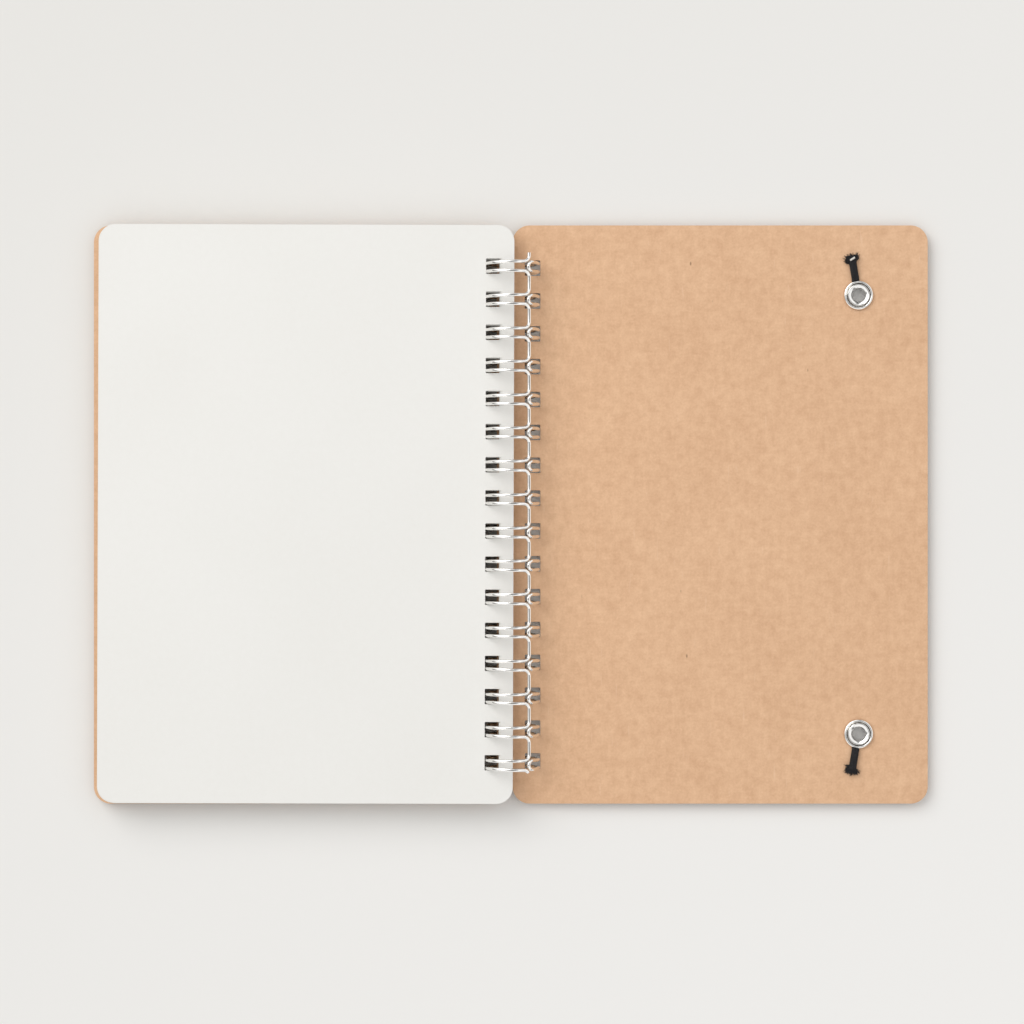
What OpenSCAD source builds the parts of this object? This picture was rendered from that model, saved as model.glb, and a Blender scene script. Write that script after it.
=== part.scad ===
// Wire-bound pocket sketchbook, lying open at its last sheet.
// The ring axis runs along Y above the origin; the table is z = 0.
// All the sheets and the front cover lie on -X, the back cover on +X.

/* [Sheets] */
// Width of a sheet, spine edge to fore edge
sheet_w = 105; // [90:1:200]
// Height of a sheet, along the spine
sheet_h = 148; // [140:1:260]
// Thickness of one sheet of drawing paper
sheet_t = 0.15; // [0.1:0.01:0.2]
// Radius of the sheets' rounded corners
sheet_corner_r = 4.2; // [1:0.1:8]
// Number of sheets in each of the three sections that turn together
section_sheets = 13; // [4:1:16]

/* [Covers] */
// Thickness of a cover board
cover_t = 1.0; // [0.6:0.1:1.6]
// How far a cover reaches past the sheets at the fore edge
fore_overhang = 2; // [0:0.5:5]
// How far a cover reaches past the sheets at the head and at the tail
head_overhang = 0.5; // [0:0.1:3]
// Radius of the covers' rounded corners
cover_corner_r = 4.4; // [1:0.1:8]

/* [Wire binding] */
// Outer diameter of the closed rings
ring_od = 14.3; // [11.9:0.1:18]
// Diameter of the wire
wire_d = 0.9; // [0.7:0.05:1.2]
// Number of double loops
loop_count = 16; // [6:1:16]
// Distance from one loop to the next, three to the inch
loop_pitch = 8.4667; // [8:0.0001:8.6]
// Distance between the centres of the two wires of a loop
loop_gap = 2.2; // [1.8:0.1:2.4]
// Where the closing line of the wire stands, clockwise from the top
seam_deg = 41; // [30:1:60]
// Radius of the bend between a loop and the closing line
seam_bend_r = 1.4; // [0.6:0.05:1.5]
// Air between a loop's closed tip and the bends beside it
tip_air = 0.15; // [0.1:0.05:0.3]
// Reach of the wire's cut ends past the middle of the end loops
wire_end_reach = 3.3; // [2.6:0.1:4]

/* [Punched holes] */
// Side of the square holes
hole_size = 4; // [3.6:0.1:4.4]
// Clearance between the rings and the outer side of the holes
hole_clear = 0.15; // [0.1:0.05:0.4]

/* [Eyelets] */
// Outer radius of an eyelet's barrel
barrel_r = 2.4; // [2:0.05:3]
// Wall of an eyelet's barrel
barrel_wall = 0.4; // [0.3:0.05:0.6]
// Radius of an eyelet's flange on the outer face
flange_r = 3.5; // [3.3:0.1:4.5]
// Thickness of the flange
flange_t = 0.3; // [0.2:0.05:0.5]
// Outer radius of the washer on the inner face
washer_r = 3.8; // [3.5:0.1:5]
// Thickness of the washer
washer_t = 0.4; // [0.3:0.05:0.6]
// Radius of the rolled lip that closes the eyelet over its washer
lip_r = 0.4; // [0.3:0.05:0.5]
// Distance from an eyelet to the cover's fore edge
eyelet_fore = 17.9; // [10:0.1:40]
// Distance from an eyelet to the cover's head or tail
eyelet_head = 18; // [10:0.1:40]

/* [Elastic closure] */
// Thickness of the elastic where it lies free
elastic_d = 1.5; // [1:0.1:1.6]
// Thickness of the elastic where an eyelet squeezes it against the board
squeezed_t = 0.3; // [0.2:0.05:0.5]
// Wall of the elastic squeezed around a barrel, inside the board
sleeve_wall = 0.45; // [0.3:0.05:0.6]
// Diameter of a tail on the inner face
tail_d = 1.9; // [1.5:0.1:2]
// Length of a tail past the washer
tail_len = 7.5; // [4:0.5:12]
// How far a tail leans towards the spine, in degrees
tail_lean = 10; // [0:1:20]

/* [Clearances] */
// Half of the gap between left and right leaves at the spine
spine_gap = 0.15; // [0.1:0.05:0.5]
// Air between neighbouring sections, and between them and the cover
section_gap = 0.05; // [0.02:0.01:0.1]
// Clearance of the elastic in its hole and of the wire in the covers
fit_clear = 0.02; // [0.01:0.01:0.05]

/* [Hidden] */
section_count = 3;
sheet_count = section_count * section_sheets + 1;
corner_steps = 8;
mesh_fn = 48;
wire_fn = 24;

ring_r = (ring_od - wire_d) / 2;
axis_z = ring_od / 2;
wire_r = wire_d / 2;

hole_out = ring_od / 2 + hole_clear;
hole_in = hole_out - hole_size;
inner_r = ring_r - wire_r;
inner_clear = 0.1;
// Lowest height at which a flat board's margin clears the ring under it
cover_z = axis_z - sqrt(inner_r * inner_r - pow(hole_in + inner_clear, 2)) + inner_clear;

cover_w = sheet_w + fore_overhang;
cover_h = sheet_h + 2 * head_overhang;
stack_z = cover_z + cover_t + section_gap;

loop_half = loop_gap / 2;
first_loop_y = -(loop_count - 1) / 2 * loop_pitch;

// Angles in the ring's own plane, counter-clockwise from +X
seam_angle = 90 - seam_deg;
bend_angle = seam_angle + atan(seam_bend_r / ring_r);
bend_mid = loop_half + seam_bend_r;
tip_setback = sqrt(pow(bend_mid + wire_d + tip_air, 2) - bend_mid * bend_mid);
tip_angle = bend_angle - tip_setback / ring_r * 180 / PI;

eyelet_x = spine_gap + cover_w - eyelet_fore;
eyelet_y = cover_h / 2 - eyelet_head;
bore_r = barrel_r - barrel_wall;
sleeve_r = barrel_r + fit_clear;
board_hole_r = sleeve_r + sleeve_wall + fit_clear;
cover_top = cover_z + cover_t;
flange_z = cover_z - squeezed_t - flange_t;
washer_z = cover_top + squeezed_t;
pad_r = washer_r - 0.5;

function two_digits(n) = n < 10 ? str("0", n) : str(n);
sheet_names = [for (k = [1 : sheet_count]) str("sheet_", two_digits(k))];

// Points of a quarter circle about a corner, from angle a on
function corner_arc(cx, cy, r, a) =
    [for (i = [0 : corner_steps]) let (t = a + 90 * i / corner_steps) [cx + r * cos(t), cy + r * sin(t)]];

// Outline of a leaf that lies on +X, its spine edge at spine_gap
function leaf_outline(w, h, r) = concat(
    corner_arc(spine_gap + w - r, h / 2 - r, r, 0),
    corner_arc(spine_gap + r, h / 2 - r, r, 90),
    corner_arc(spine_gap + r, -h / 2 + r, r, 180),
    corner_arc(spine_gap + w - r, -h / 2 + r, r, 270));

module punched_leaf(w, h, r, t) {
    linear_extrude(height = t)
        difference() {
            polygon(leaf_outline(w, h, r));
            for (k = [0 : loop_count - 1])
                translate([hole_in, first_loop_y + k * loop_pitch - hole_size / 2])
                    square(hole_size);
        }
}

module front_cover() {
    color([0.80, 0.62, 0.44])
        translate([0, 0, cover_z])
            mirror([1, 0, 0])
                punched_leaf(cover_w, cover_h, cover_corner_r, cover_t);
}

module back_cover() {
    color([0.80, 0.62, 0.44])
        difference() {
            translate([0, 0, cover_z])
                punched_leaf(cover_w, cover_h, cover_corner_r, cover_t);
            for (side = [1, -1])
                translate([eyelet_x, side * eyelet_y, cover_z - 1])
                    cylinder(r = board_hole_r, h = cover_t + 2, $fn = mesh_fn);
        }
}

// Sheet number n counts from the front cover
module sheet(n) {
    section = floor((n - 1) / section_sheets);
    color([0.96, 0.96, 0.94])
        translate([0, 0, stack_z + (n - 1) * sheet_t + section * section_gap])
            mirror([1, 0, 0])
                punched_leaf(sheet_w, sheet_h, sheet_corner_r, sheet_t);
}

// Places its child in the plane that touches the ring at an angle:
// x points outwards, y along the ring, z towards the tail
module at_ring(angle) {
    rotate([90, 0, 0])
        rotate([0, 0, angle])
            translate([ring_r, 0, 0])
                children();
}

// Piece of bent wire in a touching plane, of bend radius r about height c
module bent_wire(c, r, start, turn) {
    translate([0, 0, c])
        rotate([0, 90, 0])
            rotate([0, 0, start])
                rotate_extrude(angle = turn, $fn = mesh_fn)
                    translate([r, 0])
                        circle(r = wire_r, $fn = wire_fn);
}

// One double loop: two round wires, the closed tip, and the two bends
module wire_loop() {
    for (side = [1, -1])
        translate([0, side * loop_half, 0])
            rotate([90, 0, 0])
                rotate([0, 0, bend_angle])
                    rotate_extrude(angle = 360 + tip_angle - bend_angle, $fn = 2 * mesh_fn)
                        translate([ring_r, 0])
                            circle(r = wire_r, $fn = wire_fn);
    at_ring(tip_angle)
        bent_wire(0, loop_half, 0, 180);
    at_ring(bend_angle) {
        bent_wire(loop_half + seam_bend_r, seam_bend_r, -90, 90);
        bent_wire(-loop_half - seam_bend_r, seam_bend_r, 180, 90);
    }
}

// Straight stretch of the closing line, starting at distance start from a loop's middle
module seam_wire(start, length) {
    at_ring(bend_angle)
        translate([0, -seam_bend_r, start])
            cylinder(r = wire_r, h = length, $fn = wire_fn);
}

module wire_binding() {
    seam_start = loop_half + seam_bend_r;
    last = loop_count - 1;
    color([0.72, 0.72, 0.74])
        translate([0, 0, axis_z]) {
            for (k = [0 : last])
                translate([0, first_loop_y + k * loop_pitch, 0]) {
                    wire_loop();
                    if (k > 0)
                        seam_wire(seam_start, loop_pitch - 2 * seam_start);
                    if (k == 0)
                        seam_wire(seam_start, wire_end_reach - seam_start);
                    if (k == last)
                        seam_wire(-wire_end_reach, wire_end_reach - seam_start);
                }
        }
}

// Eyelet at the head (side 1) or the tail (side -1) of the back cover
module eyelet(side) {
    color([0.75, 0.74, 0.72])
        translate([eyelet_x, side * eyelet_y, 0])
            rotate_extrude($fn = mesh_fn)
                union() {
                    translate([bore_r, flange_z])
                        square([barrel_wall, washer_z + washer_t - flange_z]);
                    translate([bore_r, flange_z])
                        square([flange_r - bore_r, flange_t]);
                    translate([bore_r + lip_r, washer_z + washer_t + fit_clear + lip_r])
                        circle(r = lip_r, $fn = wire_fn);
                    translate([bore_r, washer_z + washer_t - flange_t])
                        square([barrel_wall, flange_t + lip_r]);
                }
}

// Washer around the barrel on the inner face, thinner towards its rim
module washer(side) {
    color([0.75, 0.74, 0.72])
        translate([eyelet_x, side * eyelet_y, washer_z])
            rotate_extrude($fn = mesh_fn)
                polygon([
                    [sleeve_r, 0], [washer_r, 0], [washer_r, washer_t * 0.5],
                    [washer_r - washer_t * 0.5, washer_t], [sleeve_r, washer_t]]);
}

// Flat ring of squeezed elastic
module elastic_ring(z, outer_r, height) {
    translate([0, 0, z])
        difference() {
            cylinder(r = outer_r, h = height, $fn = mesh_fn);
            translate([0, 0, -1])
                cylinder(r = sleeve_r, h = height + 2, $fn = mesh_fn);
        }
}

module elastic_closure() {
    run_z = cover_z - fit_clear - elastic_d / 2;
    run_half = eyelet_y - flange_r - fit_clear;
    tail_z = cover_top + fit_clear + tail_d / 2;
    color([0.06, 0.06, 0.07]) {
        translate([eyelet_x, run_half, run_z])
            rotate([90, 0, 0])
                cylinder(d = elastic_d, h = 2 * run_half, $fn = wire_fn);
        for (side = [1, -1])
            translate([eyelet_x, side * eyelet_y, 0]) {
                elastic_ring(cover_z - squeezed_t + fit_clear, flange_r - 0.4, squeezed_t - 2 * fit_clear);
                elastic_ring(cover_z - squeezed_t + fit_clear, sleeve_r + sleeve_wall, cover_t + 2 * squeezed_t - 2 * fit_clear);
                elastic_ring(cover_top + fit_clear, pad_r, squeezed_t - 2 * fit_clear);
                // from the run up to the squeezed ring under the flange
                translate([-elastic_d / 2, side > 0 ? -flange_r - 1 : sleeve_r + 0.2, cover_z - squeezed_t + fit_clear])
                    cube([elastic_d, flange_r - sleeve_r + 0.8, squeezed_t - 2 * fit_clear]);
                // from the squeezed ring over the board out to the tail
                rotate([0, 0, side * tail_lean]) {
                    translate([-elastic_d / 2, side > 0 ? sleeve_r + 0.2 : -washer_r - 1, cover_top + fit_clear])
                        cube([elastic_d, washer_r - sleeve_r + 0.8, squeezed_t - 2 * fit_clear]);
                    translate([0, side * (washer_r + 0.1), tail_z])
                        rotate([side > 0 ? -90 : 90, 0, 0])
                            cylinder(d = tail_d, h = tail_len, $fn = wire_fn);
                }
            }
    }
}

front_cover();
back_cover();
wire_binding();
eyelet(1);  // eyelet_head
eyelet(-1);  // eyelet_tail
washer(1);  // washer_head
washer(-1);  // washer_tail
elastic_closure();
for (n = [1 : sheet_count])
    sheet(n);
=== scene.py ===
import math
import random

import bmesh
import bpy
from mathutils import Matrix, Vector


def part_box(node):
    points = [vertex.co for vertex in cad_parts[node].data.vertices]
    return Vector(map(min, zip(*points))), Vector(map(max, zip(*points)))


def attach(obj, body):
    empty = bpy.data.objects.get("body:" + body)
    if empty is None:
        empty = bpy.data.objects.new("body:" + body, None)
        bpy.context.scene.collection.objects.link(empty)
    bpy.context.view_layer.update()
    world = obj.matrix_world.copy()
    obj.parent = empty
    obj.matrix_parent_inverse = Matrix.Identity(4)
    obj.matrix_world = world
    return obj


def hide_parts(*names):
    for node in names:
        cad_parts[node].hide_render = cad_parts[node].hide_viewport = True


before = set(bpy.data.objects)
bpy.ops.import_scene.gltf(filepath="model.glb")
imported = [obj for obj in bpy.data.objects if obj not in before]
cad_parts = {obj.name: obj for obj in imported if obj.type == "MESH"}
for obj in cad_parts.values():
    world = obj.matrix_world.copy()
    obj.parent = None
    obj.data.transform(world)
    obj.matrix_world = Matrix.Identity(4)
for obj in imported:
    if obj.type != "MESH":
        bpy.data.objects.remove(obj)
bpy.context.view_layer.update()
mm = 0.001
print("frame loaded, nodes:", len(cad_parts))

# ---------------------------------------------------------------- camera
shot = {"height": 780 * mm, "x": 0.0, "y": 0.65 * mm, "lens": 106.0, "sensor": 36.0}

camData = bpy.data.cameras.new("overheadCamera")
camData.lens, camData.sensor_width = shot["lens"], shot["sensor"]
camData.clip_start, camData.clip_end = 0.01, 20
camera = bpy.data.objects.new("overheadCamera", camData)
camera.location = (shot["x"], shot["y"], shot["height"])
bpy.context.scene.collection.objects.link(camera)
bpy.context.scene.camera = camera
bpy.context.scene.view_settings.view_transform = "Standard"


# ---------------------------------------------------------------- node helpers
class Sock:  # one socket that takes part in sums
    def __init__(self, sheet, socket):
        self.sheet, self.socket = sheet, socket

    def maths(self, op, *others):
        return self.sheet.node("ShaderNodeMath", {"operation": op}, {i: v for i, v in enumerate(others)})

    def __add__(self, other): return self.maths("ADD", self, other)
    def __radd__(self, other): return self.maths("ADD", other, self)
    def __sub__(self, other): return self.maths("SUBTRACT", self, other)
    def __rsub__(self, other): return self.maths("SUBTRACT", other, self)
    def __mul__(self, other): return self.maths("MULTIPLY", self, other)
    def __rmul__(self, other): return self.maths("MULTIPLY", other, self)
    def __truediv__(self, other): return self.maths("DIVIDE", self, other)
    def __pow__(self, other): return self.maths("POWER", self, other)
    def __lt__(self, other): return self.maths("LESS_THAN", self, other)
    def __gt__(self, other): return self.maths("GREATER_THAN", self, other)
    def __abs__(self): return self.maths("ABSOLUTE", self)


class NodeSheet:  # a shader or geometry tree and the one method that fills it
    def __init__(self, tree):
        self.tree = tree

    def node(self, kind, settings=None, inputs=None, out=0):
        made = self.tree.nodes.new(kind)
        for key, value in (settings or {}).items():
            if key == "stops":
                ramp = made.color_ramp
                while len(ramp.elements) < len(value):
                    ramp.elements.new(0.5)
                for spot, (place, shade) in zip(ramp.elements, value):
                    spot.position = place
                    spot.color = (*shade, 1) if len(shade) == 3 else (shade[0],) * 3 + (1,)
            else:
                setattr(made, key, value)
        for key, value in (inputs or {}).items():
            if isinstance(value, Sock):
                self.tree.links.new(value.socket, made.inputs[key])
            else:
                made.inputs[key].default_value = value
        return Sock(self, made.outputs[out])


class Finish(NodeSheet):  # a material with one Principled shader
    def __init__(self, name):
        self.material = bpy.data.materials.new(name)
        self.material.use_nodes = True
        super().__init__(self.material.node_tree)
        self.tree.nodes.clear()
        self.place = self.node("ShaderNodeTexCoord", out="Object")

    def noise(self, scale, detail=2.0, rough=0.5, stretch=None, shift=(0, 0, 0)):
        at = self.place
        if stretch or any(shift):
            at = self.node("ShaderNodeMapping", None, {"Vector": at, "Scale": stretch or (1, 1, 1), "Location": shift})
        return self.node("ShaderNodeTexNoise", None, {"Vector": at, "Scale": scale, "Detail": detail, "Roughness": rough})

    def remap(self, value, low, high, toLow=0.0, toHigh=1.0):
        return self.node("ShaderNodeMapRange", {"clamp": True},
                         {"Value": value, "From Min": low, "From Max": high, "To Min": toLow, "To Max": toHigh})

    def mix(self, amount, a, b):
        return self.node("ShaderNodeMix", {"data_type": "RGBA"}, {0: amount, 6: a, 7: b}, out=2)

    def bump(self, height, distance, strength=1.0):
        return self.node("ShaderNodeBump", None, {"Height": height, "Distance": distance, "Strength": strength})

    def close(self, **sockets):
        shader = self.node("ShaderNodeBsdfPrincipled", None, {k.replace("_", " "): v for k, v in sockets.items()})
        self.node("ShaderNodeOutputMaterial", None, {"Surface": shader}, out=None) if False else \
            self.tree.links.new(shader.socket, self.tree.nodes.new("ShaderNodeOutputMaterial").inputs["Surface"])
        return self.material


# ---------------------------------------------------------------- finishes
kraftLook = {"light": (0.808, 0.524, 0.328), "dark": (0.668, 0.404, 0.240), "speck": (0.16, 0.09, 0.05),
             "pale": (0.86, 0.62, 0.44), "core": (0.66, 0.45, 0.29)}
paperLook = {"bright": (0.862, 0.856, 0.830), "shade": (0.838, 0.830, 0.800), "edge": (0.80, 0.79, 0.76)}
nickelLook = {"bright": (0.90, 0.89, 0.87), "dull": (0.74, 0.73, 0.71)}
elasticLook = {"thread": (0.006, 0.006, 0.0075), "worn": (0.026, 0.025, 0.028), "core": (0.78, 0.75, 0.70)}


def kraftFinish(name, shift):
    s = Finish(name)
    cloud = s.noise(55, 4, 0.6, shift=shift)
    mottle = s.noise(420, 3, 0.65, shift=shift)
    along = s.noise(900, 3, 0.7, stretch=(1.0, 0.16, 1.0), shift=shift)     # fibres that run up the board
    across = s.noise(1100, 2, 0.6, stretch=(0.22, 1.0, 1.0), shift=shift)
    grit = s.noise(1900, 2, 0.6, shift=shift)
    tone = s.remap(cloud * 0.16 + mottle * 0.40 + grit * 0.22 + along * 0.13 + across * 0.09, 0.38, 0.62)
    colour = s.mix(tone, (*kraftLook["dark"], 1), (*kraftLook["light"], 1))
    paleFibre = s.remap(s.noise(1500, 2, 0.5, stretch=(1.0, 0.10, 1.0), shift=shift), 0.69, 0.76)
    colour = s.mix(paleFibre * 0.22, colour, (*kraftLook["pale"], 1))
    cells = s.node("ShaderNodeTexVoronoi", {"feature": "F1"},
                   {"Vector": s.node("ShaderNodeMapping", None, {"Vector": s.place, "Scale": (1.0, 0.45, 1.0), "Location": shift}), "Scale": 260})
    rare = s.remap(s.noise(150, 1, shift=shift), 0.62, 0.67)
    colour = s.mix(s.remap(cells, 0.03, 0.075, 1, 0) * rare * 0.65, colour, (*kraftLook["speck"], 1))
    facing = abs(s.node("ShaderNodeSeparateXYZ", None, {0: s.node("ShaderNodeTexCoord", out="Normal")}, out="Z"))
    cut = s.remap(facing, 0.35, 0.75, 1, 0)                                  # the die-cut edge shows its plies
    plies = s.node("ShaderNodeTexWave", {"bands_direction": "Z"},
                   {"Vector": s.place, "Scale": 1500, "Distortion": 2.0, "Detail": 2.0})
    colour = s.mix(cut * (0.45 + 0.4 * plies), colour, (*kraftLook["core"], 1))
    relief = s.bump(along * 0.5 + across * 0.3 + mottle * 0.4 + plies * cut * 0.6, 0.00005, 0.35)
    return s.close(Base_Color=colour, Roughness=s.remap(mottle, 0.3, 0.7, 0.74, 0.90), Specular_IOR_Level=0.3, Normal=relief)


def paperFinish(name, shift=(0, 0, 0)):
    s = Finish(name)
    tooth = s.noise(2300, 3, 0.6, shift=shift)
    felt = s.noise(650, 3, 0.55, stretch=(1.0, 0.8, 1.0), shift=shift)       # felt-side mottle of the sheet
    cloud = s.noise(28, 2, 0.5, shift=shift)
    tone = s.remap(tooth * 0.30 + felt * 0.30 + cloud * 0.40, 0.35, 0.65)
    colour = s.mix(tone, (*paperLook["shade"], 1), (*paperLook["bright"], 1))
    facing = abs(s.node("ShaderNodeSeparateXYZ", None, {0: s.node("ShaderNodeTexCoord", out="Normal")}, out="Z"))
    cut = s.remap(facing, 0.3, 0.7, 1, 0)
    guillotine = s.noise(900, 2, 0.5, stretch=(1.0, 1.0, 6.0), shift=shift)
    colour = s.mix(cut * (0.35 + 0.65 * guillotine), colour, (*paperLook["edge"], 1))
    return s.close(Base_Color=colour, Roughness=s.remap(felt, 0.3, 0.7, 0.82, 0.94), Specular_IOR_Level=0.25,
                   Normal=s.bump(tooth * 0.7 + felt * 0.6, 0.00004, 0.30))


def nickelFinish(name, rough, scratchAlong):
    s = Finish(name)
    stain = s.noise(380, 4, 0.6)
    scratch = s.noise(5200, 2, 0.6, stretch=scratchAlong)
    colour = s.mix(s.remap(stain, 0.45, 0.72) * 0.55, (*nickelLook["bright"], 1), (*nickelLook["dull"], 1))
    gloss = s.remap(stain * 0.6 + scratch * 0.4, 0.35, 0.65, rough * 0.75, rough * 1.7)
    return s.close(Base_Color=colour, Metallic=1.0, Roughness=gloss, Normal=s.bump(scratch, 0.000003, 0.25))


def elasticFinish():
    s = Finish("braidedElastic")
    fibre = s.noise(7000, 2, 0.6)
    fuzz = s.noise(1400, 3, 0.6)
    colour = s.mix(s.remap(fibre * 0.6 + fuzz * 0.4, 0.46, 0.66), (*elasticLook["thread"], 1), (*elasticLook["worn"], 1))
    return s.close(Base_Color=colour, Roughness=s.remap(fibre, 0.3, 0.7, 0.55, 0.85), Sheen_Weight=0.06,
                   Sheen_Roughness=0.5, Specular_IOR_Level=0.35, Normal=s.bump(fibre, 0.00003, 0.6))


def offWhiteFinish():
    s = Finish("rubberCore")
    grain = s.noise(4000, 2)
    colour = s.mix(grain, (*elasticLook["core"], 1), (0.62, 0.59, 0.55, 1))
    return s.close(Base_Color=colour, Roughness=s.remap(grain, 0.3, 0.7, 0.35, 0.55), Normal=s.bump(grain, 0.00002, 0.4))


backKraft = kraftFinish("kraftBoardBack", (0.03, 0.11, 0.0))
frontKraft = kraftFinish("kraftBoardFront", (0.41, 0.27, 0.0))
paper = paperFinish("drawingPaper")
wireNickel = nickelFinish("nickelWire", 0.06, (1.0, 0.25, 1.0))
eyeletNickel = nickelFinish("nickelEyelet", 0.06, (1.0, 1.0, 1.0))
blackElastic = elasticFinish()
rubberCore = offWhiteFinish()
print("finishes made")


# ---------------------------------------------------------------- mesh helpers
def link(mesh, name):
    piece = bpy.data.objects.new(name, mesh)
    bpy.context.scene.collection.objects.link(piece)
    return piece


def settle(piece, body, nodes):
    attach(piece, body)
    if nodes:
        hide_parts(*nodes)
    return piece


def smoothen(mesh, angle=35):
    mesh.shade_smooth()
    mesh.set_sharp_from_angle(angle=math.radians(angle))


def inputOf(tree, name):  # a modifier's input is set by its identifier
    return next(i.identifier for i in tree.interface.items_tree if i.name == name and i.in_out == "INPUT")


def grow(base, tree, values, name):  # evaluates a tree on a base mesh and keeps the plain result
    carrier = link(base, name + "Base")
    modifier = carrier.modifiers.new("grow", "NODES")
    modifier.node_group = tree
    for key, value in values.items():
        modifier[inputOf(tree, key)] = value
    depsgraph = bpy.context.evaluated_depsgraph_get()
    mesh = bpy.data.meshes.new_from_object(carrier.evaluated_get(depsgraph))
    carrier.modifiers.clear()
    bpy.data.objects.remove(carrier)
    mesh.name = name
    return mesh


def newTree(name, sockets):
    tree = bpy.data.node_groups.new(name, "GeometryNodeTree")
    tree.interface.new_socket(name="Geometry", in_out="INPUT", socket_type="NodeSocketGeometry")
    for label, kind, value in sockets:
        made = tree.interface.new_socket(name=label, in_out="INPUT", socket_type=kind)
        if value is not None:
            made.default_value = value
    tree.interface.new_socket(name="Geometry", in_out="OUTPUT", socket_type="NodeSocketGeometry")
    sheet = NodeSheet(tree)
    given = tree.nodes.new("NodeGroupInput")
    return sheet, lambda label: Sock(sheet, given.outputs[label])


def closeTree(sheet, geometry, material):  # every tree ends the same way
    whole = sheet.node("GeometryNodeRealizeInstances", None, {"Geometry": geometry})
    dressed = sheet.node("GeometryNodeSetMaterial", None, {"Geometry": whole, "Material": material})
    sheet.tree.links.new(dressed.socket, sheet.tree.nodes.new("NodeGroupOutput").inputs[0])
    return sheet.tree


def sweepTree():  # a round section drawn along every chain of edges
    sheet, given = newTree("sweepAlong", [("Radius", "NodeSocketFloat", 0.0005), ("Sides", "NodeSocketInt", 8),
                                          ("Material", "NodeSocketMaterial", None)])
    chain = sheet.node("GeometryNodeMeshToCurve", None, {"Mesh": given("Geometry")})
    section = sheet.node("GeometryNodeCurvePrimitiveCircle", {"mode": "RADIUS"},
                         {"Resolution": given("Sides"), "Radius": given("Radius")})
    tube = sheet.node("GeometryNodeCurveToMesh", None, {"Curve": chain, "Profile Curve": section, "Fill Caps": True})
    smooth = sheet.node("GeometryNodeSetShadeSmooth", None, {"Geometry": tube, "Shade Smooth": True})
    return closeTree(sheet, smooth, given("Material"))


def stackTree():  # copies of one sheet, each slipped and turned a little
    sheet, given = newTree("paperStack", [("Count", "NodeSocketInt", 13), ("Step", "NodeSocketFloat", 0.00015),
                                          ("Lift", "NodeSocketFloat", 0.0), ("Slip", "NodeSocketFloat", 0.0002),
                                          ("Turn", "NodeSocketFloat", 0.001), ("Lean", "NodeSocketFloat", 0.0),
                                          ("Seed", "NodeSocketInt", 1), ("Material", "NodeSocketMaterial", None)])

    def chance(span, seedShift):
        seed = sheet.node("ShaderNodeMath", {"operation": "ADD"}, {0: given("Seed"), 1: seedShift})
        low = sheet.node("ShaderNodeMath", {"operation": "MULTIPLY"}, {0: span, 1: -1.0})
        return sheet.node("FunctionNodeRandomValue", {"data_type": "FLOAT"}, {2: low, 3: span, 8: seed}, out=1)

    stepUp = sheet.node("ShaderNodeCombineXYZ", None, {"Z": given("Step")})
    start = sheet.node("ShaderNodeCombineXYZ", None, {"Z": given("Lift")})
    line = sheet.node("GeometryNodeMeshLine", {"mode": "OFFSET"}, {"Count": given("Count"), "Start Location": start, "Offset": stepUp})
    slip = sheet.node("ShaderNodeCombineXYZ", None, {"X": chance(given("Slip"), 0), "Y": chance(given("Slip"), 11)})
    spots = sheet.node("GeometryNodeSetPosition", None, {"Geometry": line, "Offset": slip})
    turn = sheet.node("ShaderNodeMath", {"operation": "ADD"}, {0: chance(given("Turn"), 23), 1: given("Lean")})
    spin = sheet.node("ShaderNodeCombineXYZ", None, {"Z": turn})
    copies = sheet.node("GeometryNodeInstanceOnPoints", None, {"Points": spots, "Instance": given("Geometry"), "Rotation": spin})
    return closeTree(sheet, copies, given("Material"))


sweepAlong, paperStack = sweepTree(), stackTree()


def chains(lines):  # polylines as one mesh of edges
    mesh = bpy.data.meshes.new("chains")
    points, edges = [], []
    for line in lines:
        first = len(points)
        points += [tuple(p) for p in line]
        edges += [(first + i, first + i + 1) for i in range(len(line) - 1)]
    mesh.from_pydata(points, edges, [])
    return mesh


def joined(meshes, name):  # several plain meshes as one, materials kept
    whole = bmesh.new()
    mesh = bpy.data.meshes.new(name)
    for part in meshes:
        slots = []
        for m in part.materials:
            if m.name not in mesh.materials:
                mesh.materials.append(m)
            slots.append(list(mesh.materials).index(m))
        before = len(whole.faces)
        whole.from_mesh(part)
        whole.faces.ensure_lookup_table()
        for f in whole.faces[before:]:
            f.material_index = slots[f.material_index] if slots else 0
    whole.to_mesh(mesh)
    whole.free()
    return mesh


def roundedOutline(x0, x1, y0, y1, r, steps):
    corners = [(x1 - r, y1 - r, 0), (x0 + r, y1 - r, 90), (x0 + r, y0 + r, 180), (x1 - r, y0 + r, 270)]
    return [Vector((cx + r * math.cos(math.radians(a + 90 * i / steps)), cy + r * math.sin(math.radians(a + 90 * i / steps)), 0))
            for cx, cy, a in corners for i in range(steps + 1)]


punch = {"middle": 5.3 * mm, "side": 4.0 * mm, "corner": 0.25 * mm, "pitch": 8.4667 * mm, "loops": 16}


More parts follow.
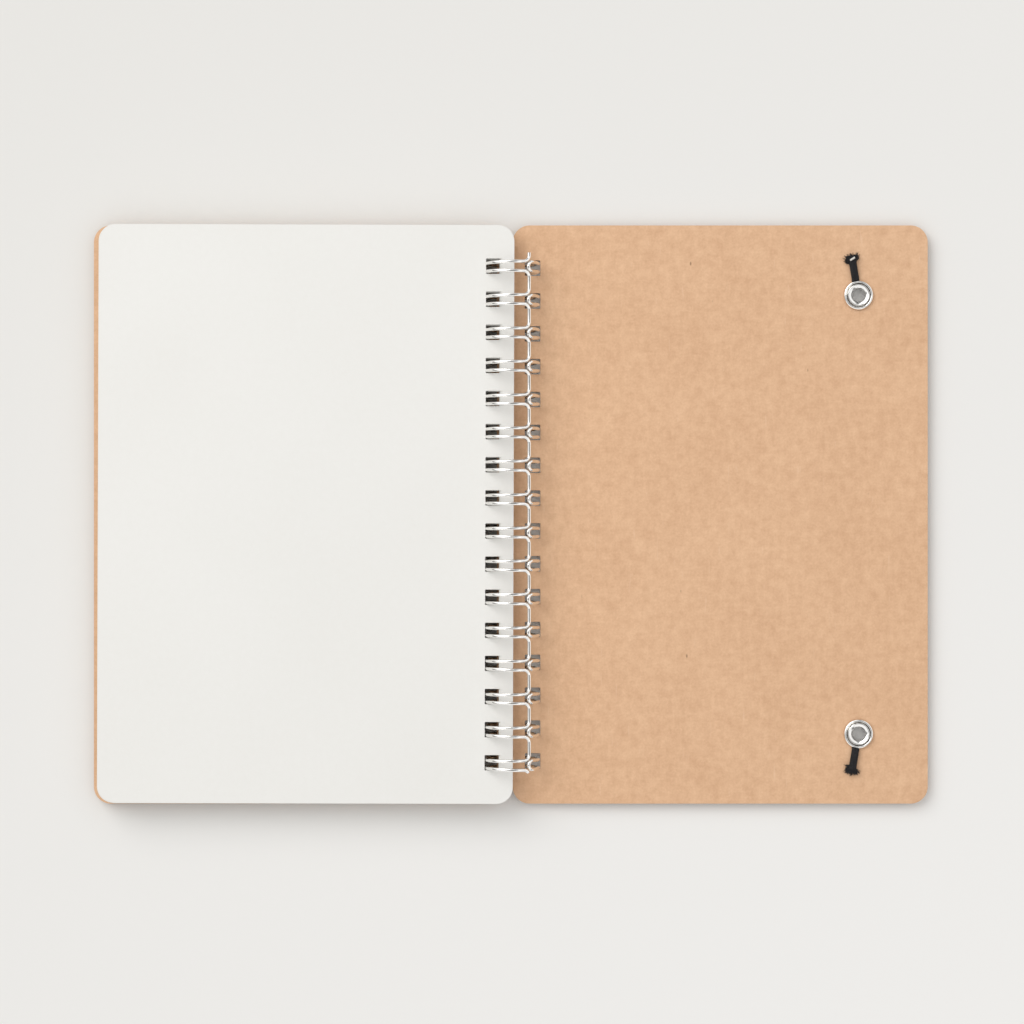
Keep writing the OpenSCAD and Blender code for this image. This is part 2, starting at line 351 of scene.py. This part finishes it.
def punchedLeaf(side, low, high, corner, roundHoles=(), slices=None):  # a flat closed leaf with its row of square holes
    thick = high.z - low.z
    rings = [roundedOutline(low.x, high.x, low.y, high.y, corner, 14)]
    half = punch["side"] / 2
    for k in range(punch["loops"]):
        cy = (k - (punch["loops"] - 1) / 2) * punch["pitch"]
        cx = side * punch["middle"]
        rings.append(roundedOutline(cx - half, cx + half, cy - half, cy + half, punch["corner"], 3))
    for hx, hy, hr in roundHoles:
        rings.append([Vector((hx + hr * math.cos(t * math.pi / 24), hy + hr * math.sin(t * math.pi / 24), 0)) for t in range(48)])
    work = bmesh.new()
    for ring in rings:
        verts = [work.verts.new(p) for p in ring]
        for i, v in enumerate(verts):
            work.edges.new((v, verts[(i + 1) % len(verts)]))
    bmesh.ops.triangle_fill(work, use_beauty=True, use_dissolve=False, edges=work.edges[:])
    for axis, places in (slices or {}).items():
        normal = Vector((1, 0, 0)) if axis == "x" else Vector((0, 1, 0))
        for place in places:
            bmesh.ops.bisect_plane(work, geom=work.verts[:] + work.edges[:] + work.faces[:], plane_co=normal * place, plane_no=normal)
    up = bmesh.ops.extrude_face_region(work, geom=work.faces[:])
    bmesh.ops.translate(work, verts=[g for g in up["geom"] if isinstance(g, bmesh.types.BMVert)], vec=(0, 0, thick))
    bmesh.ops.recalc_face_normals(work, faces=work.faces[:])
    return work


def finishMesh(work, name, material):
    mesh = bpy.data.meshes.new(name)
    work.to_mesh(mesh)
    work.free()
    if material:
        mesh.materials.append(material)
    return mesh


# ---------------------------------------------------------------- covers
board = {"corner": 4.4 * mm, "bevel": 0.09 * mm, "eyeletHole": 2.9 * mm, "slip": -0.6 * mm}


def makeCover(node, body, side, material, roundHoles=(), slip=0.0):
    low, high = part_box(node)
    work = punchedLeaf(side, low, high, board["corner"], roundHoles)
    bmesh.ops.translate(work, verts=work.verts[:], vec=(slip, 0, low.z))
    bmesh.ops.dissolve_limit(work, angle_limit=0.001, verts=work.verts[:], edges=work.edges[:])
    piece = link(finishMesh(work, node + "Board", material), node + "Board")
    soft = piece.modifiers.new("edge", "BEVEL")
    soft.width, soft.segments, soft.limit_method, soft.angle_limit = board["bevel"], 2, "ANGLE", math.radians(40)
    mesh = bpy.data.meshes.new_from_object(piece.evaluated_get(bpy.context.evaluated_depsgraph_get()))
    piece.modifiers.clear()
    piece.data = mesh
    smoothen(mesh, 50)
    for polygon in mesh.polygons:                                          # the two broad faces stay dead flat
        polygon.use_smooth = abs(polygon.normal.z) < 0.999
    return settle(piece, body, [node])


eyeletSpots = {}
for end in ("head", "tail"):
    low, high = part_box("eyelet_" + end)
    eyeletSpots[end] = ((low.x + high.x) / 2, (low.y + high.y) / 2)
makeCover("front_cover", "front_board", -1, frontKraft, slip=board["slip"])
makeCover("back_cover", "back_board", 1, backKraft, [(*spot, board["eyeletHole"]) for spot in eyeletSpots.values()])
print("covers made")

# ---------------------------------------------------------------- paper
stack = {"thick": 0.128 * mm, "slip": 0.16 * mm, "turn": 0.0011, "corner": 4.2 * mm, "lean": -0.0030,
         "curl": 0.12 * mm, "slice": 7.5 * mm,
         "slide": 0.30 * mm, "lastSlide": 0.55 * mm, "fan": 1.0 * mm}

stackLow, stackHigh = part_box("sheet_01")[0].z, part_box("sheet_40")[1].z


def settleOnRings(mesh, slide):  # higher leaves sit further round the rings, and their fore edges fan out
    for v in mesh.vertices:
        share = (v.co.z - stackLow) / (stackHigh - stackLow)
        v.co.x += share * (slide + stack["fan"] * v.co.x / (105 * mm))
    return mesh


sections = [("section_1", 1, 13), ("section_2", 14, 26), ("section_3", 27, 39)]
for number, (body, first, last) in enumerate(sections):
    low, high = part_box("sheet_%02d" % first)
    topLow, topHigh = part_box("sheet_%02d" % last)
    count = last - first + 1
    step = (topLow.z - low.z) / (count - 1)
    trimmed = Vector((high.x, high.y, low.z + stack["thick"]))
    base = finishMesh(punchedLeaf(-1, low, trimmed, stack["corner"]), "leaf", None)
    mesh = grow(base, paperStack, {"Count": count, "Step": step, "Lift": low.z, "Slip": stack["slip"], "Turn": stack["turn"],
                                   "Lean": stack["lean"] * (0.35 + 0.25 * number), "Seed": 5 + 40 * number, "Material": paper},
                body + "Sheets")
    settleOnRings(mesh, stack["slide"])
    smoothen(mesh, 30)
    settle(link(mesh, body + "Sheets"), body, ["sheet_%02d" % n for n in range(first, last + 1)])

low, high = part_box("sheet_40")
count = int((high.x - low.x) / stack["slice"])
cutsX = [low.x + stack["slice"] * (i + 1) for i in range(count - 1)]
cutsY = [low.y + stack["slice"] * (i + 1) for i in range(int((high.y - low.y) / stack["slice"]))]
work = punchedLeaf(-1, low, Vector((high.x, high.y, low.z + stack["thick"])), stack["corner"], slices={"x": cutsX, "y": cutsY})
spin = stack["lean"]
for v in work.verts:
    across = (high.x - v.co.x) / (high.x - low.x)                          # 0 at the rings, 1 at the fore edge
    along = v.co.y / high.y
    v.co.z += low.z + stack["curl"] * (across ** 3 * (0.45 + 0.55 * along * along) + 0.10 * math.sin(5.0 * across + 2.2 * along))
    v.co.x, v.co.y = v.co.x * math.cos(spin) - v.co.y * math.sin(spin), v.co.x * math.sin(spin) + v.co.y * math.cos(spin)
mesh = settleOnRings(finishMesh(work, "lastSheetPaper", paper), stack["lastSlide"])
smoothen(mesh, 40)
settle(link(mesh, "lastSheetPaper"), "last_sheet", ["sheet_40"])
print("paper made")

# ---------------------------------------------------------------- binding wire
coil = {"wire": 0.45 * mm, "half": 1.08 * mm, "seam": 49.0, "bendArc": 1.95 * mm, "bendOut": 1.5 * mm, "tip": 41.0,
        "headReach": 3.5 * mm, "tailTurn": 28, "sag": -0.30 * mm, "sides": 16, "seed": 7}


def wirePath():
    low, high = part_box("wire_binding")
    centre = (low.z + high.z) / 2
    radius = (high.z - low.z) / 2 - coil["wire"]
    chance = random.Random(coil["seed"])
    path = []

    def put(angle, y):
        a = math.radians(angle)
        path.append(Vector((radius * math.cos(a), y, centre + radius * math.sin(a))))

    toDeg = math.degrees(1 / radius)
    ringStart = coil["seam"] + coil["bendArc"] * toDeg
    for k in range(punch["loops"]):
        y = (k - (punch["loops"] - 1) / 2) * punch["pitch"] + coil["sag"] + chance.uniform(-0.05, 0.05) * mm
        tip = 360 + coil["tip"] + chance.uniform(-0.9, 0.9)
        gap = coil["half"] * chance.uniform(0.97, 1.03)

        def half(angle):
            return gap + 0.09 * mm * math.cos(math.radians(2 * (angle - ringStart)))

        startOut = half(ringStart) + coil["bendOut"]
        first, last = k == 0, k == punch["loops"] - 1
        if first:
            put(coil["seam"], y - coil["headReach"] + 0.9 * mm)
        for i in range(10):                                                # out of the closing line
            t = math.radians(9 * i)
            if first and 9 * i < coil["tailTurn"]:
                if i == 0:
                    path.clear()
                continue
            put(coil["seam"] + coil["bendArc"] * (1 - math.cos(t)) * toDeg, y - startOut + coil["bendOut"] * math.sin(t))
        turns = 60
        for i in range(1, turns):
            a = ringStart + (tip - ringStart) * i / turns
            put(a, y - half(a))
        tipHalf = half(tip)
        for i in range(13):                                                # the closed end of the loop
            t = math.pi * i / 12
            put(tip + tipHalf * math.sin(t) * toDeg, y - tipHalf * math.cos(t))
        for i in range(1, turns):
            a = tip + (ringStart - tip) * i / turns
            put(a, y + half(a))
        for i in range(9, -1, -1):
            t = math.radians(9 * i)
            put(coil["seam"] + coil["bendArc"] * (1 - math.cos(t)) * toDeg, y + startOut - coil["bendOut"] * math.sin(t))
        if last:
            put(coil["seam"], y + coil["headReach"])
    return path


wireMesh = grow(chains([wirePath()]), sweepAlong, {"Radius": coil["wire"], "Sides": coil["sides"], "Material": wireNickel}, "bindingWire")
settle(link(wireMesh, "bindingWire"), "binding", ["wire_binding"])
print("binding wire made, faces:", len(wireMesh.polygons))

# ---------------------------------------------------------------- eyelets
ringSteps = 72
eyelet = {"roll": [(1.80, -1.52), (1.74, 0.10), (1.75, 0.56), (1.84, 0.76), (2.06, 0.94), (2.34, 1.10), (2.58, 1.22), (2.74, 1.22),
                   (2.84, 1.10), (2.86, 0.92), (2.78, 0.80), (2.60, 0.79), (2.40, 0.74), (2.38, 0.40), (2.38, -1.18),
                   (2.46, -1.28), (3.30, -1.28), (3.44, -1.33), (3.50, -1.42), (3.48, -1.53), (3.38, -1.60), (2.20, -1.60), (1.95, -1.58)],
          "washer": [(2.46, 0.34), (2.46, 0.60), (2.60, 0.62), (2.88, 0.60), (3.00, 0.66), (3.16, 0.90), (3.36, 1.00),
                     (3.52, 0.93), (3.68, 0.82), (3.78, 0.64), (3.80, 0.46), (3.79, 0.34), (3.70, 0.31), (2.56, 0.31)]}


def spunRing(profile, spot, top, name, material, dents=0.0, seed=0):
    chance = random.Random(seed)
    sway = [chance.uniform(-1, 1) for _ in range(5)]
    work = bmesh.new()
    loops = []
    for i in range(ringSteps):
        a = 2 * math.pi * i / ringSteps
        wobble = dents * sum(sway[j] * math.sin((j + 2) * a + j) for j in range(5))
        loops.append([work.verts.new((spot[0] + (r * mm) * math.cos(a), spot[1] + (r * mm) * math.sin(a),
                                      top + z * mm + (wobble if z > 0.5 else 0))) for r, z in profile])
    for i in range(ringSteps):
        one, two = loops[i], loops[(i + 1) % ringSteps]
        for j in range(len(profile)):
            n = (j + 1) % len(profile)
            work.faces.new((one[j], two[j], two[n], one[n]))
    bmesh.ops.recalc_face_normals(work, faces=work.faces[:])
    mesh = finishMesh(work, name, material)
    smoothen(mesh, 60)
    piece = link(mesh, name)
    finer = piece.modifiers.new("finer", "SUBSURF")
    finer.levels = finer.render_levels = 1
    piece.data = bpy.data.meshes.new_from_object(piece.evaluated_get(bpy.context.evaluated_depsgraph_get()))
    piece.modifiers.clear()
    return piece


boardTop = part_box("back_cover")[1].z
for number, end in enumerate(("head", "tail")):
    ring = spunRing(eyelet["roll"], eyeletSpots[end], boardTop, end + "Eyelet", eyeletNickel, 0.012 * mm, 3 + number)
    settle(ring, "back_board", ["eyelet_" + end])
    collar = spunRing(eyelet["washer"], eyeletSpots[end], boardTop, end + "Washer", eyeletNickel, 0.004 * mm, 9 + number)
    settle(collar, "back_board", ["washer_" + end])
print("eyelets made")

# ---------------------------------------------------------------- elastic
braid = {"strands": 6, "pitch": 3.2 * mm, "perPitch": 26, "strand": 0.19 * mm, "weave": 0.07 * mm,
         "runRadius": 0.56 * mm, "tailRadius": 0.78 * mm, "tailTall": 0.60 * mm, "lean": 9.3, "tailLength": 6.4 * mm,
         "hairs": 360, "hair": 0.055 * mm, "hairLong": 1.2 * mm}


def braidStrands(spine, radiusAt, length):  # strands over and under each other round a spine
    steps = max(8, int(length / braid["pitch"] * braid["perPitch"]))
    lines = []
    for way in (1, -1):
        for k in range(braid["strands"]):
            line = []
            for i in range(steps + 1):
                s = length * i / steps
                centre, side, up = spine(s)
                wide, tall = radiusAt(s)
                a = way * 2 * math.pi * s / braid["pitch"] + 2 * math.pi * k / braid["strands"]
                over = 1 + way * braid["weave"] / braid["tailRadius"] * math.cos(math.pi * 2 * braid["strands"] * s / braid["pitch"])
                line.append(centre + side * (wide * over * math.cos(a)) + up * (tall * over * math.sin(a)))
            lines.append(line)
    return lines


def coreOf(spine, length, lift=0.0):
    steps = max(4, int(length / (0.6 * mm)))
    return [[spine(length * i / steps)[0] for i in range(steps + 1)]]


def sweepUp(lines, radius, sides, material, name):
    return grow(chains(lines), sweepAlong, {"Radius": radius, "Sides": sides, "Material": material}, name)


def tailOf(end, sign, seed):
    x, y = eyeletSpots[end]
    lean = math.radians(braid["lean"])
    go = Vector((-math.sin(lean), sign * math.cos(lean), 0))
    side = Vector((go.y, -go.x, 0))
    start = Vector((x, y, boardTop)) + Vector((-0.60 * mm, sign * 2.7 * mm, 0))

    def spine(s):
        rise = min(1.0, max(0.0, (s - 0.5 * mm) / (1.4 * mm)))
        rise = rise * rise * (3 - 2 * rise)
        height = 0.18 * mm + rise * (braid["tailTall"] + 0.05 * mm)
        height += 0.08 * mm * max(0.0, s / braid["tailLength"] - 0.6)
        return start + go * s + Vector((0, 0, height)), side, Vector((0, 0, 1))

    def radiusAt(s):
        rise = min(1.0, max(0.0, (s - 0.5 * mm) / (1.4 * mm)))
        flare = max(0.0, (s / (braid["tailLength"] + 1.1 * mm) - 0.72) / 0.28)
        tall = 0.06 * mm + (braid["tailTall"] - 0.06 * mm) * rise * rise * (3 - 2 * rise)
        grown = 0.55 * mm * flare * flare
        return braid["tailRadius"] + grown, tall + 0.1 * grown * rise

    length = braid["tailLength"] + 1.1 * mm
    parts = [sweepUp(braidStrands(spine, radiusAt, length), braid["strand"], 6, blackElastic, end + "Strands"),
             sweepUp([[spine(1.9 * mm + (length - 2.3 * mm) * i / 10)[0] for i in range(11)]], 0.56 * mm, 12, blackElastic, end + "Core")]
    chance = random.Random(seed)
    tip = spine(length - 0.5 * mm)[0]
    hairs = []
    for i in range(braid["hairs"]):
        around = chance.uniform(0, 2 * math.pi)
        out = chance.random() ** 0.5
        flat = side * math.cos(around) * out * 1.25 * mm
        tall = Vector((0, 0, 1)) * math.sin(around) * out * 0.72 * mm
        root = tip + flat + tall - go * chance.uniform(0.1, 1.0) * mm
        spread = side * math.cos(around) * out * chance.uniform(0.2, 1.1) + Vector((0, 0, 0.35)) * math.sin(around) * out
        heading = (go * chance.uniform(0.45, 1.0) + spread).normalized()
        reach = braid["hairLong"] * chance.uniform(0.35, 1.0)
        if i % 9 == 0:                                                     # a tuft that has sprung out to one side
            heading = (heading * 0.35 + Vector((-1, 0, 0)) * chance.uniform(0.7, 1.0)).normalized()
            root = tip - side * (0.9 * mm if side.x > 0 else -0.9 * mm) - go * chance.uniform(0.9, 1.6) * mm
        bend = Vector((chance.uniform(-1, 1), chance.uniform(-1, 1), chance.uniform(-0.7, 0.3))) * 0.9
        line = []
        for j in range(6):
            t = j / 5
            spot = root + heading * reach * t + bend * reach * 0.5 * t * t
            spot.z = min(max(spot.z, boardTop + 0.10 * mm), boardTop + 1.80 * mm)
            line.append(spot)
        hairs.append(line)
    parts.append(sweepUp(hairs, braid["hair"], 4, blackElastic, end + "Hairs"))
    if end == "head":                                                      # a short off-white rod lies across the frayed end
        across = (side * 0.8 + go * 0.35).normalized()
        spot = Vector((tip.x, tip.y, boardTop + 1.66 * mm)) - go * 0.35 * mm
        parts.append(sweepUp([[spot + across * (i - 4) * 0.17 * mm - Vector((0, 0, (i - 4) ** 2 * 0.008 * mm)) for i in range(9)]],
                             0.26 * mm, 12, rubberCore, "rubberEnd"))
    return parts


def runAlong():
    low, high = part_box("elastic_closure")
    x = eyeletSpots["head"][0]
    reach = eyeletSpots["head"][1] - 2.7 * mm
    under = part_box("back_cover")[0].z
    radius = braid["runRadius"]

    def nip(s):                                                            # 1 out in the open, 0 under a flange
        t = min(1.0, max(0.0, (min(s, 2 * reach - s) - 0.3 * mm) / (2.2 * mm)))
        return t * t * (3 - 2 * t)

    def spine(s):
        return Vector((x, s - reach, under - 0.19 * mm - nip(s) * radius)), Vector((1, 0, 0)), Vector((0, 0, 1))

    def radiusAt(s):
        return radius * (1.35 - 0.35 * nip(s)), 0.03 * mm + (radius - 0.03 * mm) * nip(s)

    length = 2 * reach
    middle = [[spine(2.8 * mm + (length - 5.6 * mm) * i / 60)[0] for i in range(61)]]
    return [sweepUp(braidStrands(spine, radiusAt, length), 0.165 * mm, 5, blackElastic, "runStrands"),
            sweepUp(middle, 0.46 * mm, 12, blackElastic, "runCore")]


parts = tailOf("head", 1, 21) + tailOf("tail", -1, 34) + runAlong()
elasticMesh = joined(parts, "elasticClosure")
for polygon in elasticMesh.polygons:
    polygon.use_smooth = True
settle(link(elasticMesh, "elasticClosure"), "back_board", ["elastic_closure"])
print("elastic made, faces:", len(elasticMesh.polygons))

# ---------------------------------------------------------------- floor and light
# near and far are the lit and dim ends of painted light falling off across the table
table = {"size": 3.0, "near": (0.905, 0.898, 0.884), "far": (0.772, 0.764, 0.742)}


def tableFinish():
    s = Finish("paleTable")
    split = s.node("ShaderNodeSeparateXYZ", None, {0: s.place}, out="X")
    down = s.node("ShaderNodeSeparateXYZ", None, {0: s.place}, out="Y")
    # painted light: the table grows lighter towards +x and -y, a fall of light painted into its colour
    paintedLightFall = s.remap(split * 0.33 - down * 0.37, -0.09, 0.09)
    colour = s.mix(paintedLightFall, (*table["far"], 1), (*table["near"], 1))
    return s.close(Base_Color=colour, Roughness=0.9, Specular_IOR_Level=0.2)


half = table["size"] / 2
floorMesh = bpy.data.meshes.new("tableTop")
floorMesh.from_pydata([(-half, -half, 0), (half, -half, 0), (half, half, 0), (-half, half, 0)], [], [(0, 1, 2, 3)])
floorMesh.materials.append(tableFinish())
link(floorMesh, "tableTop")

light = {"dim": 0.12, "bright": 1.08, "key": 10.6, "keySize": 1.15, "keyDistance": 1.6, "keyHeight": 46, "keyTurn": 45,
         "room": 0.20, "cards": [(135, 40, 42, 1.3), (15, 38, 46, 0.85), (255, 36, 48, 0.85)],
         "camera": (-0.04, 0.09, 1.0), "dark": 30}   # turn, height, width, strength

world = bpy.data.worlds.new("studio")
bpy.context.scene.world = world
world.use_nodes = True
sky = NodeSheet(world.node_tree)
sky.tree.nodes.clear()
look = sky.node("ShaderNodeTexCoord", out="Generated")


def towards(direction, low, high, toLow, toHigh):  # a value that grows towards a direction
    along = sky.node("ShaderNodeVectorMath", {"operation": "DOT_PRODUCT"}, {0: look, 1: tuple(Vector(direction).normalized())}, out="Value")
    return sky.node("ShaderNodeMapRange", {"clamp": True}, {"Value": along, "From Min": low, "From Max": high, "To Min": toLow, "To Max": toHigh})


overhead = towards((-0.05, 0.05, 1), 0.15, 0.95, light["dim"], light["bright"])
mirrored = None                                                            # what bright metal sees: white cards in a dark room
for turn, height, wide, strength in light["cards"]:
    t, h = math.radians(turn), math.radians(height)
    card = towards((math.cos(t) * math.cos(h), math.sin(t) * math.cos(h), math.sin(h)),
                   math.cos(math.radians(wide + 5)), math.cos(math.radians(wide - 5)), 0.0, strength)
    mirrored = card if mirrored is None else mirrored + card
mirrored = (mirrored + light["room"]) * towards(light["camera"], math.cos(math.radians(light["dark"] + 6)),
                                                math.cos(math.radians(light["dark"] - 6)), 1.0, 0.03)
isMirrored = sky.node("ShaderNodeLightPath", out="Is Glossy Ray")
isSeen = sky.node("ShaderNodeLightPath", out="Is Camera Ray")              # behind the table's far edge
glow = sky.node("ShaderNodeBackground", None, {"Color": (1.0, 0.995, 0.985, 1),
                                               "Strength": overhead * (1 - isMirrored - isSeen) + mirrored * isMirrored + 0.80 * isSeen})
sky.tree.links.new(glow.socket, sky.tree.nodes.new("ShaderNodeOutputWorld").inputs["Surface"])

lamp = bpy.data.lights.new("bigSoftbox", "AREA")
lamp.shape, lamp.size, lamp.energy = "SQUARE", light["keySize"], light["key"]
lamp.color = (1.0, 0.99, 0.975)
softbox = bpy.data.objects.new("bigSoftbox", lamp)
rise, turn = math.radians(light["keyHeight"]), math.radians(light["keyTurn"])
away = Vector((-math.sin(turn) * math.cos(rise), math.cos(turn) * math.cos(rise), math.sin(rise)))
softbox.location = away * light["keyDistance"]
softbox.rotation_mode = "QUATERNION"
softbox.rotation_quaternion = away.to_track_quat("Z", "Y")
bpy.context.scene.collection.objects.link(softbox)
print("light made")

bpy.context.view_layer.update()
